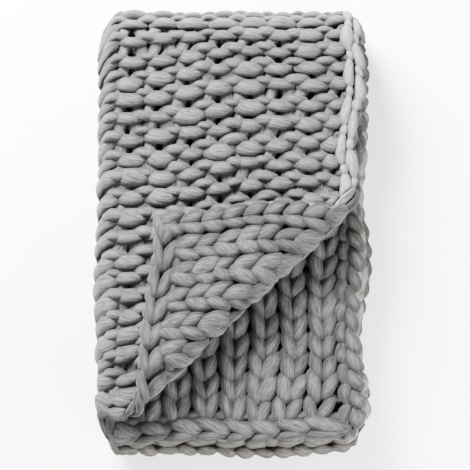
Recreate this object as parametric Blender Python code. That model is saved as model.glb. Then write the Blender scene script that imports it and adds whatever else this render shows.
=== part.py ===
# Knitted throw, folded in four with one corner of the top layer turned over.
# Sizes are in millimetres and become metres when the mesh is made.
# The cloth is drawn flat first. A point is (a, b, w): a runs across the cloth,
# b along it, and w through its thickness, plus on the purl side.
# fold() then carries every point to the place where the folded cloth lies.

import bpy
import numpy as np

# Cloth
HALF = 14.75            # half the thickness of the knitting
TIGHT = 9.5             # the same where a side is squeezed inside a fold
ROW = 34.2              # from one row of stitches to the next
COLUMN = 52.7           # from one column of stitches to the next
FIRST_COLUMN = 44.3     # where the first column begins, inside the edge stitches
ROW_RIB = 8.0           # depth between two rows on the purl side
COLUMN_RIB = 6.5        # depth between two columns on the knit side
MIDDLE_RIB = 2.5        # depth of the groove along the middle of a column
EDGE_IN = 7.0           # how far the rounded edge reaches into the cloth

# Stack
SPACING = 32.0          # from one layer to the next
FOLD = SPACING / 2      # radius of the side fold, at mid thickness
LEFT = -240.0           # outside of the side fold
RIGHT_1 = 233.0         # free side of the top layer
RIGHT_2 = 230.0         # free side of the layer under it
TOP = 402.0             # outside of the end fold
BOTTOM_1 = -317.0       # free end of the top layer
BOTTOM_3 = -393.0       # free end of the third layer
SLIP = 7.0              # how far the two lower layers lie to the right
SAG = 9.0               # how far the overhanging end sinks
SAG_LENGTH = 52.0
CORNER = 44.0           # radius of the corners, seen from above

# Turned corner
TURN = 16.5             # radius of the turn, at mid thickness
TURN_ANGLE = np.radians(43.2)
TURN_START = 80.1       # distance of the line where the turn begins
TIP = np.array([-136.5, 44.6])          # where the turned corner lies
COLUMN_WAY = 0.94 * np.array([0.998, 0.061])
ROW_WAY = 0.90 * np.array([-0.090, -0.996])
SETTLE = 110.0          # length over which the turned cloth takes its own way

# Sizes that follow
SIDE_X = LEFT + HALF + FOLD
SIDE_A = RIGHT_1 - SIDE_X
SIDE_ARC = np.pi * FOLD
WIDTH = SIDE_A + SIDE_ARC + RIGHT_2 - SIDE_X
END_Y = TOP - HALF - 1.5 * SPACING
APEX_B = END_Y - BOTTOM_1 + np.pi * 0.75 * SPACING
LENGTH = APEX_B + END_Y - BOTTOM_3 + np.pi * 0.25 * SPACING
SAG_Y = END_Y - (LENGTH - APEX_B) + np.pi * 0.75 * SPACING - 6
TOP_Z = HALF + 3 * SPACING
ACROSS = np.array([np.sin(TURN_ANGLE), -np.cos(TURN_ANGLE)])


def smooth(value):
    t = np.clip(value, 0, 1)
    return t * t * (3 - 2 * t)


def past_turn(a, b):
    """How far a point of the top layer lies past the line where the turn begins."""
    x = RIGHT_1 - a
    y = BOTTOM_1 + b
    reach = x * ACROSS[0] + y * ACROSS[1] - TURN_START
    return reach - 13 * smooth((-120 - x) / 85)


def fold_stack(a, b, w):
    """The side fold, then the end fold: two layers become four."""
    angle = np.clip((a - SIDE_A) / FOLD, 0, np.pi)
    x = SIDE_X - (FOLD + w) * np.sin(angle)
    x = x + np.maximum(SIDE_A - a, 0)
    x = x + np.maximum(a - SIDE_A - SIDE_ARC, 0)
    radius = SPACING + FOLD * np.cos(angle)
    half_arc = np.pi * radius / 2
    turn = np.clip((b - APEX_B + half_arc) / radius, 0, np.pi)
    out = radius + w * np.cos(angle)
    y = END_Y + out * np.sin(turn)
    y = y - np.maximum(APEX_B - half_arc - b, 0)
    y = y - np.maximum(b - APEX_B - half_arc, 0)
    z = HALF + 1.5 * SPACING + out * np.cos(turn)
    x = x + SLIP * smooth(turn / np.pi)
    return x, y, z


def turn_corner(a, b, w):
    """The top layer's free corner, rolled over the slanting line."""
    x = RIGHT_1 - a
    y = BOTTOM_1 + b
    past = past_turn(a, b)
    angle = np.clip(past / TURN, 0, np.pi)
    along = (TURN - w) * np.sin(angle) - np.maximum(past - np.pi * TURN, 0)
    x = x + (along - past) * ACROSS[0]
    y = y + (along - past) * ACROSS[1]
    z = TOP_Z + TURN - (TURN - w) * np.cos(angle)
    settled = smooth((past - np.pi * TURN) / SETTLE)
    goal_x = TIP[0] + b * COLUMN_WAY[0] + a * ROW_WAY[0]
    goal_y = TIP[1] + b * COLUMN_WAY[1] + a * ROW_WAY[1]
    return x + (goal_x - x) * settled, y + (goal_y - y) * settled, z


def lie(x, y, z):
    """Rounds the corners seen from above, and lets sides and the low end give a little."""
    low_side = smooth((-x - 60) / 150)
    x = x - 5 * np.exp(-(((y + 70) / 95) ** 2)) * low_side
    x = x + 5 * np.cos((y - 240) / 46) * smooth((x - 80) / 130)
    edge = np.where(x < 0, x - LEFT, RIGHT_2 + SLIP - x)
    inside = np.clip(CORNER - edge, 0, CORNER)
    pull = 0.8 * inside**2 / CORNER
    y = y - pull * smooth((y - 190) / 170) + pull * smooth((-y - 200) / 170)
    z = z - SAG * smooth((SAG_Y - y) / SAG_LENGTH)
    return x, y, z


def fold(a, b, w):
    a, b, w = np.broadcast_arrays(*(np.asarray(v, float) for v in (a, b, w)))
    x, y, z = fold_stack(a, b, w)
    turned = (a < SIDE_A) & (b < APEX_B - 90) & (past_turn(a, b) > 0)
    tx, ty, tz = turn_corner(a, b, w)
    x = np.where(turned, tx, x)
    y = np.where(turned, ty, y)
    z = np.where(turned, tz, z)
    return np.stack(lie(x, y, z), axis=-1)


def band(value, low, high, soft):
    """1 between low and high, falling to 0 over the soft length outside them."""
    return smooth((value - low) / soft + 1) * smooth((high - value) / soft + 1)


def purl_side(a, b):
    """Height of the purl side: ribs along the rows, flat where the throw rests."""
    inner = smooth((a - SIDE_A - SIDE_ARC / 2) / 30)
    squeeze = inner * band(b, APEX_B - 26, APEX_B + 26, 22)
    corner = band(past_turn(a, b), 0, np.pi * TURN, 16) * (a < SIDE_A) * (b < 480)
    squeeze = np.maximum(squeeze, corner)
    rests = smooth((b - APEX_B - 30) / 40) * (1 - smooth((a - SIDE_A) / 25))
    rib = ROW_RIB * (0.5 + 0.5 * np.cos(2 * np.pi * b / ROW)) * (1 - rests)
    return HALF - rib * (1 - squeeze) - (HALF - TIGHT) * squeeze


def knit_side(a, b):
    """Height of the knit side: one rib to each column, with a groove along it."""
    squeeze = band(a, SIDE_A, SIDE_A + SIDE_ARC, 22)
    phase = 2 * np.pi * (a - FIRST_COLUMN) / COLUMN
    rib = COLUMN_RIB * (0.5 + 0.5 * np.cos(phase)) ** 2
    rib = rib + MIDDLE_RIB * (0.5 - 0.5 * np.cos(phase)) ** 4
    return -(HALF - rib * (1 - squeeze) - (HALF - TIGHT) * squeeze)


def inset(value, length, depth):
    return depth + value * (1 - 2 * depth / length)


def lines(*runs):
    """One sorted list of positions from (start, end, number of steps) runs."""
    found = [np.linspace(start, end, steps + 1) for start, end, steps in runs]
    return np.unique(np.round(np.concatenate(found), 4))


def row_positions(per_row, start, end):
    count = int(np.ceil(LENGTH / ROW)) * per_row
    every = np.arange(count + 1) * ROW / per_row
    return every[(every > start) & (every < end)]


def column_positions(per_column, start, end):
    count = int(np.ceil(WIDTH / COLUMN) + 1) * per_column
    every = FIRST_COLUMN - COLUMN + np.arange(count + 1) * COLUMN / per_column
    return every[(every > start) & (every < end)]


# The lines of points on each side, closer where the corner turns over
CORNER_B = 420.0        # the turned corner takes up the cloth below this
side_fold = lines((SIDE_A - 12, SIDE_A + SIDE_ARC + 12, 8))
purl_plain = np.unique(np.concatenate([
    lines((0, 46, 3), (46, 360, 2), (360, SIDE_A - 12, 2)),
    side_fold,
    lines((SIDE_A + SIDE_ARC + 12, SIDE_A + SIDE_ARC + 60, 1), (WIDTH - 46, WIDTH, 2)),
]))
purl_close = np.unique(np.concatenate([
    lines((0, 340, 20), (340, SIDE_A - 12, 7)),
    purl_plain[purl_plain >= SIDE_A - 12],
]))
knit_plain = np.unique(np.concatenate([
    [0, WIDTH],
    column_positions(3, 4, SIDE_A - 16),
    side_fold,
    column_positions(3, SIDE_A + SIDE_ARC + 16, WIDTH - 4),
]))
knit_close = np.unique(np.concatenate([
    [0],
    column_positions(4, 4, SIDE_A - 16),
    knit_plain[knit_plain >= SIDE_A - 12],
]))
purl_b = np.unique(np.concatenate([
    [0, LENGTH],
    row_positions(2, 4, LENGTH - 4),
    row_positions(4, 335, 415),
    row_positions(4, APEX_B - 85, APEX_B + 85),
]))
knit_b = np.unique(np.concatenate([
    lines((0, 336, 24), (336, CORNER_B, 9)),
    lines((CORNER_B, APEX_B - 78, 3)),
    lines((APEX_B - 78, APEX_B + 78, 9)),
    lines((APEX_B + 78, LENGTH - 60, 4), (LENGTH - 60, LENGTH, 3)),
]))


class Skin:
    """Collects the points and triangles of the folded cloth."""

    def __init__(self):
        self.points = []
        self.triangles = []

    def add(self, a, b, w):
        start = len(self.points)
        self.points.extend(fold(a, b, w))
        return list(range(start, len(self.points)))

    def zip_lines(self, first, first_at, second, second_at, flip):
        """Joins two lines of points, each given with its positions along the line."""
        i = j = 0
        while i < len(first) - 1 or j < len(second) - 1:
            more_first = i < len(first) - 1
            more_second = j < len(second) - 1
            take_first = more_first and (
                not more_second or first_at[i + 1] <= second_at[j + 1]
            )
            if take_first:
                corners = (first[i], first[i + 1], second[j])
                i += 1
            else:
                corners = (first[i], second[j + 1], second[j])
                j += 1
            self.triangles.append(corners[::-1] if flip else corners)


def add_side(skin, height, rows, plain, close, flip):
    """One side of the cloth. Returns its border as (a, b, point) corners in order."""
    grid = []
    for b in rows:
        across = close if b < CORNER_B else plain
        depth_a = inset(across, WIDTH, EDGE_IN)
        depth_b = inset(b, LENGTH, EDGE_IN)
        points = skin.add(depth_a, depth_b, height(depth_a, depth_b))
        grid.append((across, b, points))
    for (at_0, _, line_0), (at_1, _, line_1) in zip(grid, grid[1:]):
        skin.zip_lines(line_0, at_0, line_1, at_1, flip)
    return border_of(grid)


def border_of(grid):
    """The border in four sides, each a list of (position, a, b, point)."""
    first = [(a, a, 0.0, p) for a, p in zip(grid[0][0], grid[0][2])]
    last = [(a, a, LENGTH, p) for a, p in zip(grid[-1][0], grid[-1][2])]
    near = [(b, 0.0, b, line[0]) for _, b, line in grid]
    far = [(b, WIDTH, b, line[-1]) for _, b, line in grid]
    return {"first": first, "far": far, "last": last, "near": near}


def rim_line(skin, side, depth, w, ends):
    """A line of points round the edge, sharing its two corner points with its neighbours."""
    a = inset(np.array([s[1] for s in side]), WIDTH, depth)
    b = inset(np.array([s[2] for s in side]), LENGTH, depth)
    keys = [(round(s[1]), round(s[2])) for s in side]
    points = []
    for key, at_a, at_b in zip(keys, a, b):
        if key not in ends:
            ends[key] = skin.add([at_a], [at_b], [w])[0]
        points.append(ends[key])
    return points


def add_rim(skin, purl, knit):
    """The rounded edge between the two sides."""
    upper, lower = {}, {}
    for name, flip in (("first", True), ("far", True), ("last", False), ("near", False)):
        top = purl[name]
        base = knit[name]
        top_at = [s[0] for s in top]
        base_at = [s[0] for s in base]
        top_points = [s[3] for s in top]
        base_points = [s[3] for s in base]
        ring_top = rim_line(skin, top, 1.2, 6.5, upper)
        ring_base = rim_line(skin, base, 1.2, -6.5, lower)
        skin.zip_lines(ring_top, top_at, top_points, top_at, flip)
        skin.zip_lines(ring_base, base_at, ring_top, top_at, flip)
        skin.zip_lines(base_points, base_at, ring_base, base_at, flip)


def make_throw():
    skin = Skin()
    purl = add_side(skin, purl_side, purl_b, purl_plain, purl_close, True)
    knit = add_side(skin, knit_side, knit_b, knit_plain, knit_close, False)
    add_rim(skin, purl, knit)
    points = np.array(skin.points)
    low, high = points.min(axis=0), points.max(axis=0)
    origin = np.array([(low[0] + high[0]) / 2, (low[1] + high[1]) / 2, low[2]])
    print("origin moved to", np.round(origin, 3), "mm")
    points = (points - origin) / 1000
    mesh = bpy.data.meshes.new("throw")
    mesh.from_pydata(points.tolist(), [], skin.triangles)
    mesh.validate()
    mesh.update()
    throw = bpy.data.objects.new("throw", mesh)
    bpy.context.collection.objects.link(throw)
    return throw


for old in list(bpy.data.objects):
    bpy.data.objects.remove(old)

throw = make_throw()
yarn = bpy.data.materials.new("grey_yarn")
yarn.use_nodes = True
surface = yarn.node_tree.nodes["Principled BSDF"]
surface.inputs["Base Color"].default_value = (0.42, 0.42, 0.41, 1)
surface.inputs["Roughness"].default_value = 0.9
throw.data.materials.append(yarn)
print(f"flat cloth {WIDTH:.0f} x {LENGTH:.0f} x {2 * HALF:.1f} mm")
print(len(throw.data.polygons), "triangles")
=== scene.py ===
# %% [markdown]
# A knitted throw, folded in four
#
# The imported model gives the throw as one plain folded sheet. This lesson knits
# that sheet: every row becomes a real loop of thick yarn, drawn on the flat
# cloth first and then carried round the same folds as the solid.

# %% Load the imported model
import bpy
import numpy as np
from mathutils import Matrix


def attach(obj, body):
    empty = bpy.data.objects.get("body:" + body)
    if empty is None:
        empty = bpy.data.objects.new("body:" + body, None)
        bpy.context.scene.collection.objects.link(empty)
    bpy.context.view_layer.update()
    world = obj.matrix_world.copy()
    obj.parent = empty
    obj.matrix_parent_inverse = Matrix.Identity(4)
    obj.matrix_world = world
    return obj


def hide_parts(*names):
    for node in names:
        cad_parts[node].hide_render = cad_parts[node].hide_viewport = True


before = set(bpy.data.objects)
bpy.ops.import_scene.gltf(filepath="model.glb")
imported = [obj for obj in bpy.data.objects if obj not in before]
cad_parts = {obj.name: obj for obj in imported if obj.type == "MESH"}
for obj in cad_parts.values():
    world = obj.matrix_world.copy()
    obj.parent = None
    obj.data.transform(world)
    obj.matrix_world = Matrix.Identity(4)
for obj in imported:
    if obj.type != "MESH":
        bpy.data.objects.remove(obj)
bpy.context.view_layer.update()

# %% [markdown]
# The sizes of the flat cloth
#
# The real throw is one cloth, folded along its length and then across it. The
# yarn has to lie where the solid lies, so its sizes are the solid's own.
# All of them are in millimetres, and turn into metres only when a mesh is made.
# A point of the flat cloth is (a, b, w): a runs across it, b along it, and w
# through its thickness, with plus on the purl side, which lies outermost.
# In the folded stack x runs to the right, y to the end fold, and z up.

# %% Sizes of the stack and of the flat cloth
HALF = 14.75                # half the thickness of the cloth
SPACING = 32.0              # from the middle of one layer to the middle of the next
FOLD = SPACING / 2          # radius of the side fold, at the middle of the cloth
LEFT = -240.0               # outside of the side fold
RIGHT_1 = 233.0             # right edge of the top layer
RIGHT_2 = 230.0             # right edge of the layer under it
TOP = 402.0                 # outside of the end fold
BOTTOM_1 = -317.0           # low edge of the two upper layers
BOTTOM_3 = -393.0           # low edge of the third layer
SLIP = 7.0                  # how far the lower layers lie to the right
SAG = 9.0                   # how far the third layer's overhanging end sinks,
SAG_LENGTH = 52.0           # and the length in which it does
CORNER = 44.0               # how far from an edge the stack's corners are rounded
ORIGIN = np.array([0.103, 5.005, 0.0])      # the middle of the solid's footprint

# %% Where the folds lie
SIDE_X = LEFT + HALF + FOLD                     # centre of the side fold
SIDE_A = RIGHT_1 - SIDE_X                       # the cloth goes into it here,
SIDE_ARC = np.pi * FOLD                         # and comes out this much later
WIDTH = SIDE_A + SIDE_ARC + RIGHT_2 - SIDE_X
END_Y = TOP - HALF - 1.5 * SPACING              # centre of the end fold
APEX_B = END_Y - BOTTOM_1 + np.pi * 0.75 * SPACING      # the cloth turns back here
LENGTH = APEX_B + END_Y - BOTTOM_3 + np.pi * 0.25 * SPACING
BOTTOM_4 = END_Y - (LENGTH - APEX_B) + np.pi * 0.75 * SPACING   # low edge of the fourth layer
SAG_Y = BOTTOM_4 - 6                            # past it, the third layer has nothing under it
TOP_Z = HALF + 3 * SPACING                      # height of the top layer's middle
print(f"flat cloth {WIDTH:.0f} x {LENGTH:.0f} mm, folded at {SIDE_A:.0f} across and {APEX_B:.0f} along")

# %% Sizes of the turned corner
TURN = 16.5                             # radius of the roll, at the middle of the cloth
TURN_ANGLE = np.radians(43.2)           # slant of the line where the roll begins
TURN_START = 80.1                       # how far that line lies from the stack's origin
TURN_BEND = 13.0                        # how far the line swings out at its low left end
CORNER_B = 480.0                        # the turned corner ends before this row
TIP = np.array([-136.5, 44.6])          # where the tip of the cloth comes to lie
COLUMN_WAY = 0.94 * np.array([0.998, 0.061])    # its columns lie this way, a little pushed up
ROW_WAY = 0.90 * np.array([-0.090, -0.996])     # and its rows this way
SETTLE = 110.0                          # the cloth past the roll lies like that after this length
ACROSS = np.array([np.sin(TURN_ANGLE), -np.cos(TURN_ANGLE)])
print("the roll runs across", ACROSS, "and has a radius of", TURN, "mm")

# %% [markdown]
# Folding by arithmetic
#
# A cloth simulation could drop and fold the sheet, but it would never land
# exactly on the solid. Folds are cylinders, so each one is a short formula:
# up to the fold a point moves straight, on it round a centre, and past it
# straight again on the other side. The same function serves every strand.

# %% Easing
def smooth(value):
    """Eases from 0 to 1 while the value goes from 0 to 1."""
    t = np.clip(value, 0, 1)
    return t * t * (3 - 2 * t)


def rise(value, start, length):
    """0 up to start, then easing up to 1 in this length."""
    return smooth((value - start) / length)


def fall(value, start, length):
    """1 up to start, then easing down to 0 in this length."""
    return 1 - rise(value, start, length)


def around(value, middle, reach):
    """A bell: 1 at the middle, and hardly anything at twice the reach."""
    return np.exp(-(((value - middle) / reach) ** 2))


print("easing at a quarter, a half and three quarters:", smooth(np.array([0.25, 0.5, 0.75])))

# %% The folds
LEAST_RADIUS = 0.8          # nothing is bent more tightly than this


def past_turn(a, b):
    """How far a point of the top layer lies past the line where the turn begins."""
    x = RIGHT_1 - a
    y = BOTTOM_1 + b
    reach = x * ACROSS[0] + y * ACROSS[1] - TURN_START
    return reach - TURN_BEND * rise(-x, 120, 85)


def fold_stack(a, b, w):
    """The side fold, then the end fold: two layers become four."""
    angle = np.clip((a - SIDE_A) / FOLD, 0, np.pi)
    inner = np.maximum(FOLD + w, LEAST_RADIUS)
    x = SIDE_X - inner * np.sin(angle)
    x = x + np.maximum(SIDE_A - a, 0) + np.maximum(a - SIDE_A - SIDE_ARC, 0)
    radius = SPACING + FOLD * np.cos(angle)
    half_arc = np.pi * radius / 2
    turn = np.clip((b - APEX_B + half_arc) / radius, 0, np.pi)
    out = np.maximum(radius + w * np.cos(angle), LEAST_RADIUS)
    y = END_Y + out * np.sin(turn)
    y = y - np.maximum(APEX_B - half_arc - b, 0) - np.maximum(b - APEX_B - half_arc, 0)
    z = HALF + 1.5 * SPACING + out * np.cos(turn)
    return x + SLIP * smooth(turn / np.pi), y, z


def turn_corner(a, b, w):
    """The top layer's free corner, rolled over the slanting line."""
    x = RIGHT_1 - a
    y = BOTTOM_1 + b
    past = past_turn(a, b)
    angle = np.clip(past / TURN, 0, np.pi)
    # Where the roll starts, thick strands may still reach past its centre, or they would jump there.
    inner = np.maximum(TURN - w, LEAST_RADIUS - 5 * fall(past, 0, 18))
    along = inner * np.sin(angle) - np.maximum(past - np.pi * TURN, 0)
    x = x + (along - past) * ACROSS[0]
    y = y + (along - past) * ACROSS[1]
    z = TOP_Z + TURN - inner * np.cos(angle)
    settled = rise(past, np.pi * TURN, SETTLE)
    goal_x = TIP[0] + b * COLUMN_WAY[0] + a * ROW_WAY[0]
    goal_y = TIP[1] + b * COLUMN_WAY[1] + a * ROW_WAY[1]
    return x + (goal_x - x) * settled, y + (goal_y - y) * settled, z


def lie(x, y, z):
    """Rounds the corners seen from above, and lets sides and the low end give a little."""
    x = x - 5 * around(y, -70, 95) * rise(-x, 60, 150)
    x = x + 5 * np.cos((y - 240) / 46) * rise(x, 80, 130)
    edge = np.where(x < 0, x - LEFT, RIGHT_2 + SLIP - x)
    inside = np.clip(CORNER - edge, 0, CORNER)
    pull = 0.8 * inside**2 / CORNER
    y = y - pull * rise(y, 190, 170) + pull * rise(-y, 200, 170)
    z = z - SAG * smooth((SAG_Y - y) / SAG_LENGTH)
    return x, y, np.maximum(z, 0.0)


def fold(points):
    """Carries flat points (..., 3) to their place in the folded throw, in metres."""
    a, b, w = points[..., 0], points[..., 1], points[..., 2]
    x, y, z = fold_stack(a, b, w)
    turned = (a < SIDE_A) & (b < APEX_B - 90) & (past_turn(a, b) > 0)
    turned_x, turned_y, turned_z = turn_corner(a, b, w)
    x = np.where(turned, turned_x, x)
    y = np.where(turned, turned_y, y)
    z = np.where(turned, turned_z, z)
    return (np.stack(lie(x, y, z), axis=-1) - ORIGIN) / 1000


print("middle of the top layer lies at", fold(np.array([200.0, 500.0, 0.0])))
print("tip of the turned corner lies at", fold(np.array([0.0, 0.0, 0.0])))

# %% [markdown]
# From a path to a strand of yarn
#
# A curve object with a round bevel would make a tube, but this yarn is loose
# and squashes flat where strands press together. So each strand is built
# ring by ring: a path, how wide it is in the cloth and how thick through it.
# Where the folded cloth is sheared, as on the turned corner, a strand would
# come out thinner than the yarn is, so its width is measured there and kept.

# %% Width of a strand in the folded cloth
def kept_width(path, side):
    """What a strand is widened by where the folded cloth is sheared, so that the yarn isn't."""
    here = fold(path)
    run = np.gradient(here, axis=0)
    run /= np.linalg.norm(run, axis=1, keepdims=True)
    across = (fold(path + side) - here) * 1000
    across -= (across * run).sum(axis=1, keepdims=True) * run
    narrow = np.clip(np.linalg.norm(across, axis=1), 0.55, 1.1)
    mean_of_five = np.full(5, 0.2)
    return 1 / np.convolve(np.pad(narrow, 2, mode="edge"), mean_of_five, mode="valid")


straight = np.stack([np.linspace(40, 140, 11), np.full(11, 150.0), np.zeros(11)], axis=1)
print("widened on the turned corner by", kept_width(straight, np.array([0.0, 1.0, 0.0])).round(2))

# %% [markdown]
# What the material has to know
#
# On the real throw the fibres run along the yarn with a slow turn, the gaps
# between the loops are dark, and the edge stitches are stretched and look paler
# in the light. An image texture would need all strands laid out flat. Here each
# point carries three values instead, as attributes that the material reads: its
# place on the yarn, how open to the light it lies, which sets a painted shade,
# and how much painted light and shade it gets besides.

# %% Values that ride on the points
TWIST_LENGTH = 280.0        # the roving turns once in this length


def fibre_place(path, angle, start):
    """The place on the yarn: round it, turned by the twist, and along it."""
    steps = np.linalg.norm(np.diff(path, axis=0), axis=1)
    length = start + np.concatenate([[0], np.cumsum(steps)])
    turn = angle[None, :] + 2 * np.pi * length[:, None] / TWIST_LENGTH
    along = np.broadcast_to(length[:, None], turn.shape)
    return np.stack([np.cos(turn), np.sin(turn), along], axis=-1)


def openness(level):
    """How open to the light a point is, for the painted shade: high near the cloth's two faces, low deep
    between the loops.
    """
    purl_side = np.abs(1.3 * level - 4.5)
    knit_side = 3.6 * np.maximum(-level - 11.6, 0)
    return np.where(level > 0, purl_side, knit_side)


def paint_light_and_shade(level, angle, pale):
    """Painted shade on the knit side and on a strand's flanks, and painted light on the legs seen behind
    the purl loops.
    """
    knit_side = 1 - 0.2 * rise(-level, 0, 8)
    flanks = 1 - 0.6 * np.cos(angle) ** 2
    legs_behind = 1 + 1.1 * around(level, 1.8, 2.5)
    return pale * knit_side * flanks * legs_behind


levels = np.array([-HALF, -6.0, 2.0, HALF])
print("openness at", levels, "mm:", openness(levels).round(1))

# %% Strands
class Strands:
    """Collects tubes of yarn, and makes one mesh of them."""

    def __init__(self, name, sides=14):
        self.name = name
        self.sides = sides
        self.count = 0
        self.points = []
        self.faces = []
        self.fibre = []
        self.open = []
        self.pale = []

    def add(self, path, wide, thick, start=0.0, pale=1.0):
        """One strand, from its path and its half width and half thickness at each step."""
        tangent = np.gradient(path, axis=0)
        tangent /= np.linalg.norm(tangent, axis=1, keepdims=True)
        up = np.array([0.0, 0.0, 1.0]) - tangent[:, 2:3] * tangent
        up /= np.linalg.norm(up, axis=1, keepdims=True)
        side = np.cross(up, tangent)
        wide = wide * kept_width(path, side)
        angle = np.arange(self.sides) / self.sides * 2 * np.pi
        ring = path[:, None, :]
        ring = ring + (wide[:, None] * np.cos(angle))[..., None] * side[:, None, :]
        ring = ring + (thick[:, None] * np.sin(angle))[..., None] * up[:, None, :]
        level = ring[..., 2]
        self.points.append(fold(ring).reshape(-1, 3))
        self.fibre.append(fibre_place(path, angle, start).reshape(-1, 3))
        self.open.append(openness(level).ravel())
        self.pale.append(paint_light_and_shade(level, angle, pale).ravel())
        self.join_rings(len(path))

    def join_rings(self, rings):
        """Faces between neighbouring rings, and one that closes each end."""
        base = self.count + np.arange(rings * self.sides).reshape(rings, self.sides)
        after = np.roll(base, -1, axis=1)
        quads = np.stack([base[:-1], after[:-1], after[1:], base[1:]], axis=-1)
        self.faces.extend(quads.reshape(-1, 4).tolist())
        self.faces.append(base[0][::-1].tolist())
        self.faces.append(base[-1].tolist())
        self.count += rings * self.sides

    def make(self):
        """The piece: a mesh with its three attributes, smooth all over."""
        mesh = bpy.data.meshes.new(self.name)
        mesh.from_pydata(np.concatenate(self.points).tolist(), [], self.faces)
        mesh.update()
        for title, kind, field, values in (
            ("fibre", "FLOAT_VECTOR", "vector", self.fibre),
            ("open", "FLOAT", "value", self.open),
            ("pale", "FLOAT", "value", self.pale),
        ):
            attribute = mesh.attributes.new(title, kind, "POINT")
            attribute.data.foreach_set(field, np.concatenate(values).astype(np.float32).ravel())
        mesh.polygons.foreach_set("use_smooth", np.ones(len(mesh.polygons), bool))
        piece = bpy.data.objects.new(self.name, mesh)
        bpy.context.collection.objects.link(piece)
        mesh.calc_loop_triangles()
        print(self.name, len(mesh.loop_triangles), "triangles")
        return piece


# %% [markdown]
# Hands are never even
#
# Knitting by hand gives stitches that lean, swell and drift. Random numbers
# with a fixed seed give the same throw on every run. What moves a whole part
# of the cloth is a rule of its own, and it moves neighbours together, so that
# the loops still interlock: the real throw has taller rows near its low
# right, and stitches that are pulled where its corner is turned over.

# %% Unevenness
dice = np.random.default_rng(11)


def uneven(positions, spread, spacing):
    """Smooth random values along positions, with a new one every spacing."""
    knots = dice.normal(0, spread, int(np.ceil(positions.max() / spacing)) + 2)
    place = np.clip(positions / spacing, 0, len(knots) - 1.001)
    cell = place.astype(int)
    t = smooth(place - cell)
    return knots[cell] * (1 - t) + knots[cell + 1] * t


def drift(path):
    """Moves whole parts of the cloth, with a slow wander of all stitches."""
    a, b = path[:, 0], path[:, 1]
    # Along the cloth: taller rows low on the right of the top layer, and near the second layer's
    # low edge, and rows pulled up where the roll ends at the low left.
    right = 1 - np.clip((a - 60) / 375, 0, 1) ** 2
    taller = 36 * np.clip(b / 300, 0, 1) * fall(b, 560, 200) * right
    below = 0.09 * b * rise(a, 490, 80) * fall(b, 260, 300)
    pulled = 38 * fall(a, 335, 110) * rise(a, 230, 90) * around(b, 95, 70)
    # Across it: columns pushed over on the turned corner, columns of the second layer that lean,
    # and the top layer's right edge drawn in above the corner.
    past = past_turn(a, b) * (a < SIDE_A) * (b < CORNER_B)
    pushed = (15 + 12 * np.clip(1 - a / 100, 0, 1)) * rise(past, 30, 50) * fall(past, 90, 80)
    leaning = 17 * rise(a, 660, 140) * fall(a, 850, 50) * fall(b, 10, 140)
    drawn_in = 13 * around(b, 440, 85) * fall(a, 0, 110)
    wander_a = 3.0 * np.sin(b / 71 + 0.6) + 2.2 * np.sin(b / 33 + a / 90)
    wander_b = 3.2 * np.sin(a / 97 + b / 210) + 2.4 * np.sin(a / 43 - b / 150)
    out = path.copy()
    out[:, 0] = a + pushed - leaning + drawn_in + wander_a
    out[:, 1] = b + taller + below + pulled + wander_b
    return out


moved = drift(straight) - straight
print(f"the drift moves a row of the corner by up to {np.abs(moved).max():.0f} mm")

# %% [markdown]
# One row of loops
#
# In plain knitting a row of yarn runs up and down through the row below. Its
# heads and feet show as bumps on the purl side, and its legs as V shapes on
# the knit side. Sine waves draw that path well: one wave lifts the yarn up and
# down the cloth, and two of twice the pace swing it sideways and through.
# The yarn is thin at a head, which is pulled tight, and full at feet and legs.

# %% Sizes of a stitch
SIDE_EDGE = 44.3            # width of the chain along a side
END_EDGE = 38.0             # and of the chain along an end
COLUMNS = 16
ROWS = 41
COLUMN = (WIDTH - 2 * SIDE_EDGE) / COLUMNS
ROW = (LENGTH - 2 * END_EDGE) / ROWS
LIFT = 0.725 * ROW          # how far a loop reaches up and down from its row's middle
TAIL = 22.0                 # how far a row's end runs on under the chain of the side,
TAIL_DROP = np.array([0.0, 0.3 * ROW, -11.0])   # and where it goes meanwhile,
TAIL_RINGS = 6              # in this many rings
PER_STITCH = 28             # rings in one stitch
ROW_YARN = 700.0            # the fibres of the next row start this far along the noise
print(f"a stitch is {COLUMN:.1f} mm wide and {ROW:.1f} mm high")

# %% Rows of stitches
def hump(t, centre, reach, flat):
    """1 over the middle of a part of the loop, easing to 0 at its ends."""
    off = np.abs(t - centre) / reach
    return 1 - smooth((off - flat) / (1 - flat))


def swelling(a, b, corner, second):
    """How much thicker the yarn is in this part of the throw: fuller where rows are taller."""
    more = 1 - 0.13 * rise(b, 560, 60) * fall(b, 680, 40) * (a < SIDE_A)
    more *= 1 + 0.2 * rise(b, 680, 50) * fall(b, 900, 80)
    more *= 1 + 0.02 * corner - 0.04 * second
    more *= 1 + 0.16 * rise(a, 680, 80) * fall(a, 860, 30) * fall(b, 60, 90)
    more *= 1 + 0.17 * rise(a, 280, 90) * (a < SIDE_A + 40) * fall(b, 400, 90)
    return more


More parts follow.
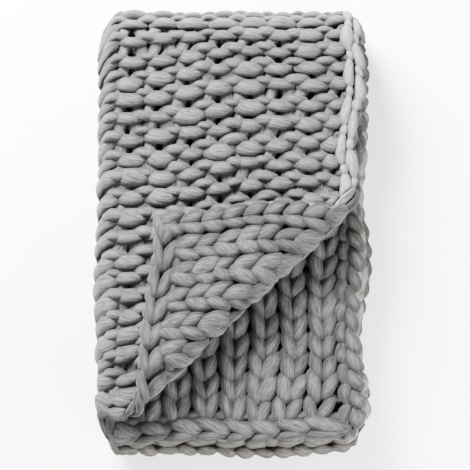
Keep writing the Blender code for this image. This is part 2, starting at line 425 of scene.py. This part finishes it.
def knit_row(row):
    """The path of one row, and its half widths and half thicknesses, in flat millimetres."""
    t = -np.pi + np.arange(COLUMNS * PER_STITCH + 1) * 2 * np.pi / PER_STITCH
    across = (t + np.pi) / (2 * np.pi) * COLUMN
    middle = END_EDGE + (row + 0.5) * ROW
    a = SIDE_EDGE + across + uneven(across, 1.7, COLUMN / 2)
    # Two parts show their knit side, with wider and taller V's: the corner and the second layer.
    corner = rise(past_turn(a, middle), 25, 30) * (a < SIDE_A) * (middle < CORNER_B)
    second = (a > SIDE_A) * (middle < 500)
    swing = COLUMN * (1 + uneven(across, 0.10, COLUMN / 2)) * (1 + 0.3 * corner + 0.12 * second)
    # Sideways the yarn swings twice a stitch, which makes a loop with a narrow neck of the wave.
    a += swing * (-0.044 * np.sin(t) + 0.185 * np.sin(2 * t) - 0.019 * np.sin(3 * t))
    lift = LIFT * (1 + 0.055 * corner + 0.03 * second) * (np.cos(t) - 0.09 * np.cos(3 * t))
    b = middle + lift * (1 + uneven(across, 0.06, COLUMN / 2))
    b += 1.5 * np.sin(2 * t) * (1 - corner - second)
    b += uneven(across, 1.8, COLUMN / 3) + uneven(across, 1.5, 2 * COLUMN)
    # Through the cloth it goes to the purl side at heads and feet, and to the knit side at the legs.
    w = 6.6 * (1 + 0.16 * corner + 0.1 * second) * np.cos(2 * t) + 0.5 * np.cos(t) + np.cos(4 * t)
    w += uneven(across, 0.7, COLUMN / 2)
    swell = np.clip(1.02 + uneven(across, 0.16, COLUMN / 2), 0.82, 1.27)
    swell *= swelling(a, b, corner, second)
    place = np.abs((t + np.pi) % (2 * np.pi) - np.pi)
    foot = hump(place, np.pi, 0.40 * np.pi, 0.42)
    leg = hump(place, np.pi / 2, 0.42 * np.pi, 0.2) * (1 - 0.6 * foot)
    wide = (7.4 + 4.6 * foot + 5.4 * leg) * swell
    thick = (6.4 + 1.8 * foot + 2.8 * leg) * swell
    return np.stack([a, b, w], axis=1), wide, thick


def with_tails(path, wide, thick):
    """Leads both ends of a row in under the chains of the sides."""
    before = np.linspace(0, 1, TAIL_RINGS + 1)[:-1, None]
    after = before + 1 / TAIL_RINGS
    start = path[0] + (1 - smooth(before)) * TAIL_DROP
    end = path[-1] + smooth(after) * TAIL_DROP
    start[:, 0] -= TAIL * (1 - before[:, 0])
    end[:, 0] += TAIL * after[:, 0]
    taper = np.linspace(0.5, 0.93, TAIL_RINGS)
    wide = np.concatenate([wide[0] * taper, wide, wide[-1] * taper[::-1]])
    thick = np.concatenate([thick[0] * taper, thick, thick[-1] * taper[::-1]])
    return np.concatenate([start, path, end]), wide, thick


knitted = []
for block, rows in enumerate((range(0, 10), range(10, 20), range(20, 30), range(30, ROWS))):
    strands = Strands(f"rows_{block + 1}")
    for row in rows:
        path, wide, thick = with_tails(*knit_row(row))
        strands.add(drift(path), wide, thick, start=row * ROW_YARN)
    knitted.append(strands.make())

# %% [markdown]
# The chains along the sides
#
# At each end of a row the yarn turns back, and the turns lock into a chain.
# On the knit side it shows as slanting leaves, one to a row, and on the purl
# side as long ovals with a small knob between them, one to two rows. The
# ovals are pulled tight and catch more light, which is painted into them as a
# paler colour. Each kind is one long strand with a repeated swelling, which is
# simpler than real links and looks the same from outside.

# %% How a chain is drawn
LEAF_END = 20.0             # leaves start and end this far from the cloth's corners,
BEAD_END = 14.0             # and beads this far
RINGS_A_LEAF = 18
BEAD_STEP = 2.6             # from one ring of a bead to the next
BEAD_FLATNESS = 0.78        # thickness of a bead over its width


def leaves(strands, edge, centre, swing, pitch, length, wide, spread=0.09, grow=0.0):
    """Slanting leaves on the knit side, one a pitch, that run under each other."""
    span = length - 2 * LEAF_END
    turns = round(span / pitch)
    theta = np.arange(turns * RINGS_A_LEAF + 1) * 2 * np.pi / RINGS_A_LEAF
    along = LEAF_END + span * theta / theta[-1] - 0.26 * pitch * np.cos(theta)
    inward = centre - swing * np.cos(theta) * (1 + uneven(along, 2 * spread, pitch))
    inward += uneven(along, 10 * spread, pitch)
    w = -2.4 - 5.2 * np.sin(theta)
    leaf = np.maximum(np.sin(theta), 0) ** 0.7
    swell = (1 + uneven(along, spread, pitch / 2)) * (1 + grow * rise(along, SIDE_A, 60))
    half_wide = (6.4 + (wide - 6.4) * leaf) * swell
    half_thick = (6.6 + 1.8 * leaf) * swell
    strands.add(edge(along, inward, w), half_wide, half_thick)


def beads(strands, edge, centre, w, pitch, phase, share, sizes, length, pale=1.0, more=0):
    """A strand that swells into a long oval and a knob each pitch, with more of them on the side fold.

    The oval takes this share of the pitch. The sizes are the half widths of neck, oval and knob.
    """
    neck, oval, knob = sizes
    along = np.arange(BEAD_END, length - BEAD_END, BEAD_STEP)
    extra = more * rise(along, SIDE_A - 12, SIDE_ARC + 24)
    place = (along / pitch + extra + phase) % 1
    long_part = np.sin(np.pi * np.clip(place / share, 0, 1)) ** 0.6
    short_part = np.sin(np.pi * np.clip((place - share) / (1 - share), 0, 1)) ** 0.8
    size = neck + (oval - neck) * long_part + (knob - neck) * short_part
    size = size * (1 + uneven(along, 0.11, pitch / 2))
    inward = centre + uneven(along, 1.2, pitch) + 1.6 * np.sin(2 * np.pi * along / pitch)
    level = np.full_like(along, w) * (0.75 + 0.25 * np.maximum(long_part, short_part))
    strands.add(edge(along, inward, level), size, size * BEAD_FLATNESS, pale=pale)


# %% Chains along the two long sides
def near_edge(along, inward, w):
    return drift(np.stack([inward, along, w], axis=1))


def far_edge(along, inward, w):
    return drift(np.stack([WIDTH - inward, along, w], axis=1))


near = Strands("side_chain_near", sides=12)
leaves(near, near_edge, centre=12.0, swing=-6.5, pitch=ROW, length=LENGTH, wide=11.5)
leaves(near, near_edge, centre=33.0, swing=5.5, pitch=ROW, length=LENGTH, wide=11.5)
far = Strands("side_chain_far", sides=12)
leaves(far, far_edge, centre=16.0, swing=9.0, pitch=ROW, length=LENGTH, wide=12.0)
beads(far, far_edge, centre=36.0, w=-5.0, pitch=ROW, phase=0.2, share=0.98,
      sizes=(5.5, 12.0, 5.5), length=LENGTH)
for strands, edge in ((near, near_edge), (far, far_edge)):
    # Painted light: the purl-side ovals of the side chains get a paler colour for the light they catch.
    beads(strands, edge, centre=28.0, w=9.5, pitch=2 * ROW, phase=0.1, share=0.76,
          sizes=(4.5, 10.5, 7.5), length=LENGTH, pale=2.3)
    beads(strands, edge, centre=10.5, w=8.0, pitch=2 * ROW, phase=0.45, share=0.72,
          sizes=(4.5, 10.0, 8.0), length=LENGTH, pale=2.4)
    knitted.append(strands.make())

# %% [markdown]
# The first and the last row
#
# The first row is cast on and the last one cast off. Both make a flat chain of
# V shapes, one to a stitch, that is as wide as two strands of yarn. Where this
# chain goes round the side fold, real yarn bunches up instead of stretching,
# so one more knob is slipped in there.

# %% Chains along the two ends
def first_edge(along, inward, w):
    w = w + 5 * around(along, SIDE_A + 25, 45) * (w > 0)
    return drift(np.stack([along, inward, w], axis=1))


def last_edge(along, inward, w):
    return drift(np.stack([along, LENGTH - inward, w], axis=1))


for name, edge in (("end_chain_first", first_edge), ("end_chain_last", last_edge)):
    strands = Strands(name, sides=12)
    leaves(strands, edge, centre=11.0, swing=4.5, pitch=COLUMN, length=WIDTH, wide=10.0,
           spread=0.13, grow=-0.08)
    leaves(strands, edge, centre=27.0, swing=-7.0, pitch=COLUMN, length=WIDTH, wide=12.5,
           spread=0.13, grow=0.2)
    beads(strands, edge, centre=43.0, w=-3.0, pitch=COLUMN, phase=0.5, share=0.98,
          sizes=(5.0, 9.5, 5.0), length=WIDTH, more=1)
    beads(strands, edge, centre=10.5, w=5.5, pitch=0.66 * COLUMN, phase=0.0, share=0.98,
          sizes=(4.5, 11.0, 4.5), length=WIDTH, more=1)
    beads(strands, edge, centre=29.0, w=6.5, pitch=COLUMN, phase=0.5, share=0.98,
          sizes=(4.5, 12.5, 4.5), length=WIDTH, more=1)
    knitted.append(strands.make())

# %% [markdown]
# The yarn's finish
#
# Roving is barely spun wool: fine fibres run along it with a slow turn, and it
# scatters light softly with a faint sheen. Real hairs would be millions of
# them, so a noise draws them, stretched along the yarn by the strand's own
# attribute. It tints the wool and also feeds a fine bump.

# %% Fibres along the yarn
DARK_WOOL = (0.028, 0.028, 0.0273, 1)
LIGHT_WOOL = (0.1, 0.1, 0.0975, 1)


def new_material(name, inputs):
    """A material whose Principled BSDF has these values."""
    material = bpy.data.materials.new(name)
    material.use_nodes = True
    for title, value in inputs.items():
        material.node_tree.nodes["Principled BSDF"].inputs[title].default_value = value
    return material


def add_node(material, kind, inputs, **settings):
    """A shader node, with its settings first and then its inputs' values."""
    node = material.node_tree.nodes.new(kind)
    for title, value in settings.items():
        setattr(node, title, value)
    for title, value in inputs.items():
        node.inputs[title].default_value = value
    return node


yarn = new_material("grey_roving", {
    "Roughness": 0.9,
    "Specular IOR Level": 0.1,
    "Sheen Weight": 0.08,
    "Sheen Roughness": 0.45,
})
link = yarn.node_tree.links.new
fibre = add_node(yarn, "ShaderNodeAttribute", {}, attribute_name="fibre")
# The attribute runs round the yarn in x and y, and along it in z, where the noise is drawn out.
stretch = add_node(yarn, "ShaderNodeMapping", {"Scale": (2.3, 2.3, 1 / 50)})
streaks = add_node(yarn, "ShaderNodeTexNoise", {"Scale": 3.0, "Detail": 6.0, "Roughness": 0.68})
wool = add_node(yarn, "ShaderNodeValToRGB", {})
wool.color_ramp.elements[0].position = 0.39
wool.color_ramp.elements[0].color = DARK_WOOL
wool.color_ramp.elements[1].position = 0.63
wool.color_ramp.elements[1].color = LIGHT_WOOL
link(fibre.outputs["Vector"], stretch.inputs["Vector"])
link(stretch.outputs["Vector"], streaks.inputs["Vector"])
link(streaks.outputs["Fac"], wool.inputs["Fac"])
print("wool from", DARK_WOOL[:3], "to", LIGHT_WOOL[:3])

# %% [markdown]
# Painted shade and light
#
# Deep between the loops little light comes back, so the wool is painted darker
# there than the lamps alone make it. The strands' own two values paint that
# shade; the second also paints shade on the knit side and on the flanks, and
# light on the edge ovals and the legs behind the purl loops. The lowest layers
# also pick up a warmer light from the floor, so a painted warm light, which also
# makes them paler, fades out with height. It could be a coloured lamp, but a
# lamp would tint the upper layers too.

# %% Painted shade between the loops
open_to_light = add_node(yarn, "ShaderNodeAttribute", {}, attribute_name="open")
pale = add_node(yarn, "ShaderNodeAttribute", {}, attribute_name="pale")
shade = add_node(
    yarn,
    "ShaderNodeMapRange",
    {"From Min": 3.5, "From Max": 15.0, "To Min": 0.56, "To Max": 1.0},
    interpolation_type="SMOOTHSTEP",
)
light = add_node(yarn, "ShaderNodeMath", {}, operation="MULTIPLY")
link(open_to_light.outputs["Fac"], shade.inputs["Value"])
link(shade.outputs["Result"], light.inputs[0])
link(pale.outputs["Fac"], light.inputs[1])

# %% Painted warm light low down
# Painted light from the floor: the lowest layers come out warmer and paler, fading out with height.
WARM_FLOOR_LIGHT = (1.55, 1.41, 1.28, 1)
WARM_HEIGHT = 0.11          # in metres: above this the wool is plain grey

place = add_node(yarn, "ShaderNodeTexCoord", {})
axes = add_node(yarn, "ShaderNodeSeparateXYZ", {})
height = add_node(yarn, "ShaderNodeMapRange", {"From Min": 0.0, "From Max": WARM_HEIGHT})
painted_floor_light = add_node(yarn, "ShaderNodeMix", {"A": WARM_FLOOR_LIGHT, "B": (1.0, 1.0, 1.0, 1)}, data_type="RGBA")
link(place.outputs["Object"], axes.inputs["Vector"])
link(axes.outputs["Z"], height.inputs["Value"])
link(height.outputs["Result"], painted_floor_light.inputs["Factor"])

# %% The yarn's surface
def multiplied(first, second):
    """The product of two colours."""
    mix = add_node(yarn, "ShaderNodeMix", {"Factor": 1.0}, data_type="RGBA", blend_type="MULTIPLY")
    link(first, mix.inputs["A"])
    link(second, mix.inputs["B"])
    return mix.outputs["Result"]


surface = yarn.node_tree.nodes["Principled BSDF"]
wool_with_floor_light = multiplied(wool.outputs["Color"], painted_floor_light.outputs["Result"])
link(multiplied(wool_with_floor_light, light.outputs[0]), surface.inputs["Base Color"])
bump = add_node(yarn, "ShaderNodeBump", {"Strength": 0.6, "Distance": 0.003})
link(streaks.outputs["Fac"], bump.inputs["Height"])
link(bump.outputs["Normal"], surface.inputs["Normal"])
print(yarn.name, "has", len(yarn.node_tree.nodes), "nodes")

# %% [markdown]
# Handing over the pieces
#
# All eight pieces are the same cloth, so each rides the throw's one body and
# takes the place of the plain sheet, in the same yarn. Yarn this thick and
# loose gives way and holds much air.

# %% Hand over the pieces
for piece in knitted:
    piece.data.materials.append(yarn)
    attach(piece, "root")
    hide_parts("throw")
print(len(knitted), "pieces of knitting")

# %% [markdown]
# Floor, light and camera
#
# The throw is photographed from straight above on a plain white surface, with
# soft light from the upper left. A large lamp close to the stack gives the
# soft shading, a weak one opposite lifts the shadows, and a bright world keeps
# the floor white. The camera's lens follows from its distance and the scale.

# %% Floor
bpy.ops.object.select_all(action="DESELECT")
bpy.ops.mesh.primitive_plane_add(size=8, location=(0, 0, -0.0004))
floor = bpy.context.object
floor.name = "floor"
floor.data.materials.append(
    new_material("pale_floor", {"Base Color": (0.97, 0.97, 0.97, 1), "Roughness": 0.9}))
print("the floor is", floor.dimensions.x, "m wide")

# %% Light
from mathutils import Vector

world = bpy.data.worlds.new("studio")
bpy.context.scene.world = world
world.use_nodes = True
world.node_tree.nodes["Background"].inputs["Color"].default_value = (1, 1, 1, 1)
world.node_tree.nodes["Background"].inputs["Strength"].default_value = 1.3


def area_lamp(name, place, size, power):
    """A square lamp that faces the middle of the throw."""
    lamp = bpy.data.lights.new(name, "AREA")
    lamp.size = size
    lamp.energy = power
    lamp_object = bpy.data.objects.new(name, lamp)
    bpy.context.collection.objects.link(lamp_object)
    lamp_object.location = place
    lamp_object.rotation_euler = (-Vector(place)).to_track_quat("-Z", "Y").to_euler()
    print(name, "lamp is", round(Vector(place).length, 2), "m away")


area_lamp("key", place=(-1.0, 1.85, 1.3), size=1.2, power=1040)
area_lamp("fill", place=(1.3, -1.4, 0.75), size=1.2, power=220)

# %% Camera
TOP_LAYER = 0.125           # height of the top layer's face, where the scale holds
DISTANCE = 3.0              # from there to the camera
MM_A_PIXEL = 1.75
PIXELS = 470                # width of the image
SENSOR = 36                 # width of the sensor in millimetres
camera = bpy.data.cameras.new("camera")
camera_object = bpy.data.objects.new("camera", camera)
bpy.context.collection.objects.link(camera_object)
camera_object.location = (0.0034, -0.0024, TOP_LAYER + DISTANCE)
camera.sensor_width = SENSOR
camera.lens = SENSOR * DISTANCE / (PIXELS * MM_A_PIXEL / 1000)
camera.clip_end = 20
bpy.context.scene.camera = camera_object
print(f"lens {camera.lens:.0f} mm")
